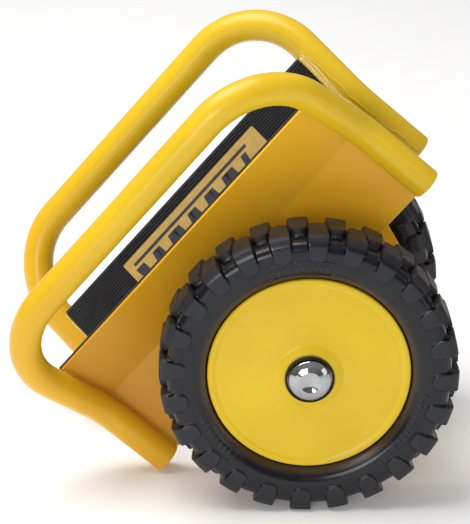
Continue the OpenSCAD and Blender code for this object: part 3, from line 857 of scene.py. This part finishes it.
def tyre(side, name):
    """The tyre's section turned round the wheel, with two staggered rows of lugs."""
    angle = lug_angles()
    outer = tyre_half(angle, 1, LUG_PHASE, LUG_PHASE + STEP / 2)
    inner = tyre_half(angle, -1, LUG_PHASE + STEP / 2, LUG_PHASE)
    rows = outer + inner[-2::-1]
    bore = [(84, -13.4 + 26.8 * k / 3) for k in (1, 2)]
    rows += [np.broadcast_to(np.array(b), (len(angle), 2)) for b in bore]
    grid = np.stack(rows, 1)
    points = on_wheel(side, np.radians(angle)[:, None], grid[..., 0], grid[..., 1])
    faces = strip_faces(len(angle), len(rows), True, True)
    piece(f"{name}_lugged_tyre", upright(points.reshape(-1, 3)), faces, f"{name}_wheel", TYRE,
          (f"{name}_tyre",), 42)


def tyre_panel(side, name, index, middle):
    """A thin raised frame on the sidewall, with a plain row of short ridges in it."""
    mean = (PANEL_LOW_R + PANEL_HIGH_R) / 2
    order = np.argsort(SIDEWALL[:, 0])

    def sidewall(radius):
        return np.interp(radius, SIDEWALL[order, 0], SIDEWALL[order, 1])

    corner = rounded([(-PANEL_HALF, PANEL_LOW_R, 2), (PANEL_HALF, PANEL_LOW_R, 2),
                      (PANEL_HALF, PANEL_HIGH_R, 2), (-PANEL_HALF, PANEL_HIGH_R, 2)], 4)
    path = []
    for i, a in enumerate(corner):
        b = corner[(i + 1) % len(corner)]
        count = max(1, int(np.linalg.norm(b - a) / 2.5))
        path += [a + (b - a) * k / count for k in range(count)]
    path = np.array(path)
    turn = math.radians(middle) + path[:, 0] / mean
    run = on_wheel(side, turn, path[:, 1], sidewall(path[:, 1]))
    normal, binormal = frames_along(run, [0.0, 1.0, 0.0], True)
    points, faces = sweep(run, normal, binormal, np.full(len(run), PANEL_EDGE_R), 8, True)
    piece(f"{name}_sidewall_panel_{index}", upright(points), faces, f"{name}_wheel", TYRE,
          (), 60)
    radius = np.linspace(PANEL_LOW_R + RIDGE_INSET, PANEL_HIGH_R - RIDGE_INSET, 5)
    size = np.array([0.35, 0.75, 0.75, 0.75, 0.35])
    points, faces = [], []
    for k in range(RIDGES):
        turn = math.radians(middle) + (k - RIDGES // 2) * RIDGE_PITCH / mean
        run = on_wheel(side, turn, radius, sidewall(radius))
        normal, binormal = frames_along(run, [0.0, 1.0, 0.0])
        more, sides = sweep(run, normal, 1.7 * binormal, size, 8, False)
        faces += [[len(points) + i for i in f] for f in sides]
        points += more.tolist()
    piece(f"{name}_sidewall_ridges_{index}", upright(points), faces, f"{name}_wheel", TYRE,
          (), 60)


def rim(side, name):
    """The rim's outer half: a full disc with a rolled edge."""
    disc = rounded([
        (HUB_R, HUB_Y - 0.8, 0.8), (HUB_R + 3.2, HUB_Y - 1.4, 3), (HUB_R + 8, DISC_Y + 5.0, 7),
        (DISC_R - 7.2, DISC_Y - 1.2, 2.5), (DISC_R - 4.6, DISC_Y, 2), (DISC_R, DISC_Y, 1.9),
        (DISC_R, DISC_Y - 3.6, 1.2), (BEAD_R, DISC_Y - 5, 0.5), (BEAD_R, TRACK + 0.05, 0),
        (BEAD_R - 2, TRACK + 0.05, 0), (BEAD_R - 2, DISC_Y - 3.6, 2),
        (HUB_R + 8, DISC_Y + 3.0, 5), (HUB_R + 3, HUB_Y - 3.6, 2), (HUB_R, HUB_Y - 2.8, 0)])
    lathe(f"{name}_rim_disc", side, disc, f"{name}_wheel", YELLOW,
          (f"{name}_rim_outer",), 180, 50)


def hub_trim(side, name):
    """A dished chrome cap on the axle's end, and the seal ring round it."""
    low, high = HUB_Y + CAP_LOW, HUB_Y + CAP_HIGH
    cap = rounded([
        (0.001, high - 2.1, 0), (3, high - 1.88, 0), (5.6, high - 1.3, 0), (7.8, high - 0.55, 0),
        (9.4, high, 0.9), (13.6, high - 1.7, 8), (CAP_R - 0.3, low + 3.4, 3), (CAP_R, low, 0.4),
        (CAP_R - 1, low, 0.3), (CAP_R - 1.3, low + 2.6, 3), (12.6, high - 2.9, 8),
        (8.4, high - 2.8, 0), (0.001, high - 3.3, 0)])
    lathe(f"{name}_chrome_cap", side, cap, f"{name}_jaw", CHROME,
          (f"{name}_axle_cap",), 96, 60)
    inside, outside = CAP_R + SEAL_GAP, HUB_Y + SEAL_T
    seal = rounded([(inside, HUB_Y, 0), (HUB_R, HUB_Y, 0), (HUB_R, outside, 1),
                    (inside, outside, 0.6)])
    lathe(f"{name}_seal_ring", side, seal, f"{name}_wheel", SEAL,
          (f"{name}_dust_seal",), 96, 50)


for side, name in SIDES:
    tyre(side, name)
    for index, middle in enumerate(PANEL_ANGLES, 1):
        tyre_panel(side, name, index, middle)
    rim(side, name)
    hub_trim(side, name)


# ---- stage ------------------------------------------------------------------

def floor():
    mesh = bpy.data.meshes.new("floor")
    corners = [(-FLOOR_REACH, -FLOOR_REACH, 0), (FLOOR_REACH, -FLOOR_REACH, 0),
               (FLOOR_REACH, FLOOR_REACH, 0), (-FLOOR_REACH, FLOOR_REACH, 0)]
    mesh.from_pydata(corners, [], [(0, 1, 2, 3)])
    n = Nodes("pale_floor")
    tone = n.ramp(n.noise(3, 2), 0.3, 0.7, (0.95, 0.95, 0.95), (0.97, 0.97, 0.97))
    n.link(tone, n.shader.inputs["Base Color"])
    n.set(Roughness=0.7, Specular_IOR_Level=0.2, Emission_Color=(1, 1, 1, 1),
          Emission_Strength=0.1)
    mesh.materials.append(n.material)
    obj = bpy.data.objects.new("floor", mesh)
    bpy.context.scene.collection.objects.link(obj)


def soft_light(name, place, size, power):
    data = bpy.data.lights.new(name, "AREA")
    data.shape = "RECTANGLE"
    data.size, data.size_y = size
    data.energy = power
    obj = bpy.data.objects.new(name, data)
    obj.location = place
    obj.rotation_euler = (Vector(MIDDLE) - Vector(place)).to_track_quat("-Z", "Y").to_euler()
    bpy.context.scene.collection.objects.link(obj)


def world():
    """A pale studio: bright overhead, dimmer and warmer at the horizon."""
    made = bpy.data.worlds.new("studio")
    made.use_nodes = True
    tree = made.node_tree
    split = tree.nodes.new("ShaderNodeSeparateXYZ")
    where = tree.nodes.new("ShaderNodeTexCoord")
    tree.links.new(where.outputs["Generated"], split.inputs[0])
    side = tree.nodes.new("ShaderNodeMapRange")
    side.inputs["From Min"].default_value = -1.0
    tree.links.new(split.outputs["X"], side.inputs["Value"])
    height = tree.nodes.new("ShaderNodeValToRGB")
    stops = height.color_ramp.elements
    stops[0].position, stops[1].position = SKY_STARTS, SKY_FULL
    tree.links.new(split.outputs["Z"], height.inputs["Fac"])
    horizon = mix_colours(tree, side.outputs["Result"], HORIZON_LEFT, HORIZON_RIGHT)
    sky = mix_colours(tree, height.outputs["Color"], horizon, (1, 1, 1))
    back = tree.nodes["Background"]
    tree.links.new(sky, back.inputs["Color"])
    back.inputs["Strength"].default_value = SKY_STRENGTH
    bpy.context.scene.world = made


floor()
world()
soft_light("overhead", (-0.9, 0.1, 2.6), (2.2, 2.0), 70)
soft_light("front", (-0.9, -2.9, 0.9), (1.3, 1.1), 26)
soft_light("right_strip", (2.2, -1.7, 0.6), (0.6, 1.0), 3)

camera = bpy.data.cameras.new("camera")
camera.sensor_width = 36
camera.lens = CAMERA_LENS
camera.clip_start, camera.clip_end = 0.1, 30
eye = bpy.data.objects.new("camera", camera)
eye.location = CAMERA_AT
eye.rotation_euler = (math.pi / 2 - CAMERA_DOWN, 0, CAMERA_TURN)
bpy.context.scene.collection.objects.link(eye)
bpy.context.scene.camera = eye
bpy.context.scene.view_settings.view_transform = "Standard"
